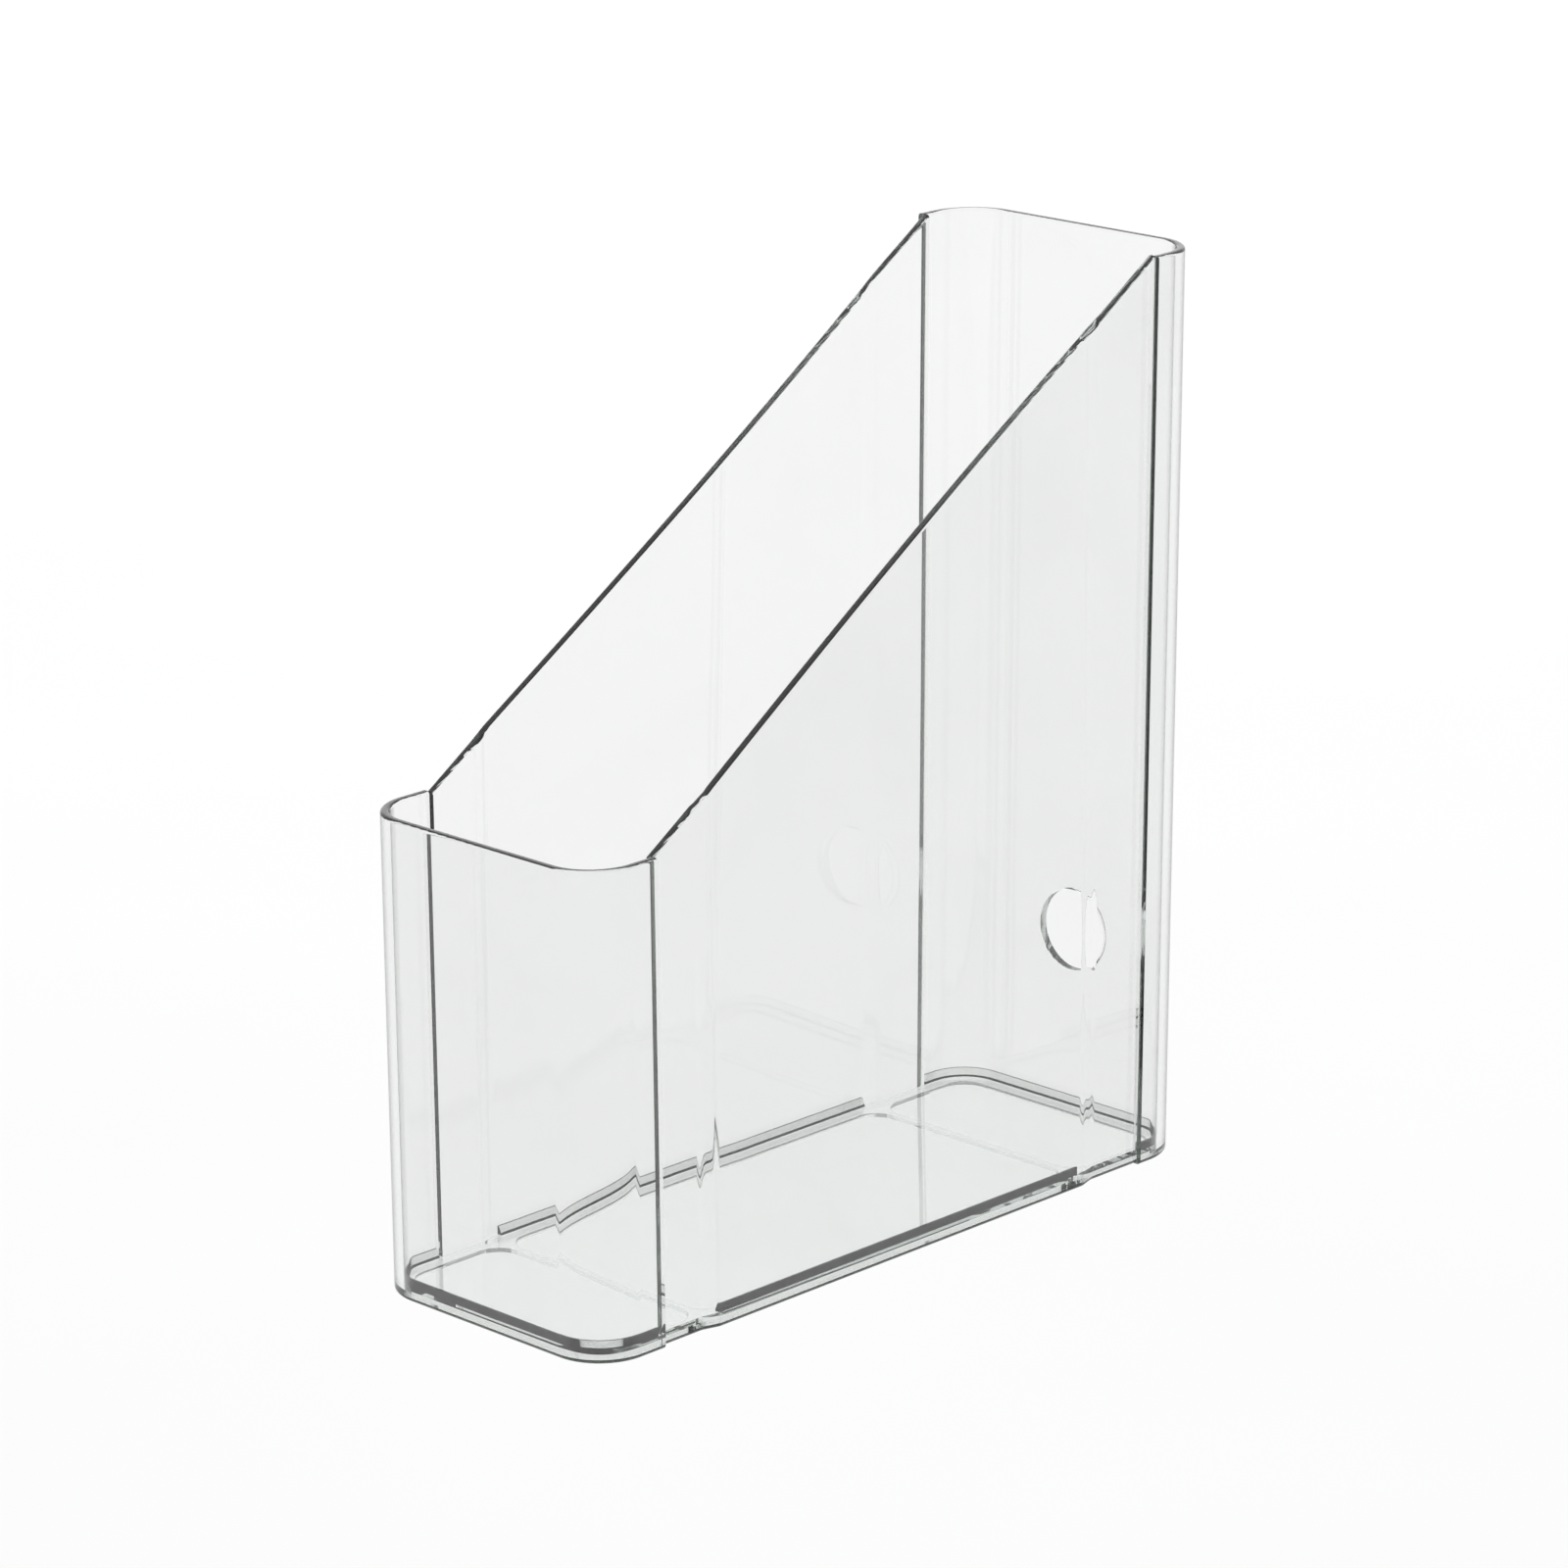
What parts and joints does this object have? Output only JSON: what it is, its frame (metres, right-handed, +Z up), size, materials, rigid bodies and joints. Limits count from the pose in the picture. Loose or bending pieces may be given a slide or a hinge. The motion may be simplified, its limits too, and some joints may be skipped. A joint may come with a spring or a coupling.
{
  "type": "magazine rack",
  "caption": "Clear plastic magazine file with rounded end shells, fluted side panels, a sloping top, a raised tray floor and a finger hole low in the back.",
  "frame": {"origin": "on the ground under the middle of the overall box", "axes": "+Z up, +Y from the low front end to the tall back end, +X to the right seen from the front"},
  "size_m": [0.1028, 0.2738, 0.3006],
  "materials": {
    "clear_plastic": "clear rigid plastic with polished faces",
    "tray_lip": "greenish grey clear plastic seen edge-on"
  },
  "bodies": {
    "root": {"front_end_shell": "clear_plastic", "back_end_shell": "clear_plastic", "left_side_panel": "clear_plastic", "right_side_panel": "clear_plastic", "base_tray": "clear_plastic", "front_tray_lip": "tray_lip", "back_tray_lip": "tray_lip", "left_tray_lip": "tray_lip", "right_tray_lip": "tray_lip"}
  },
  "joints": []
}
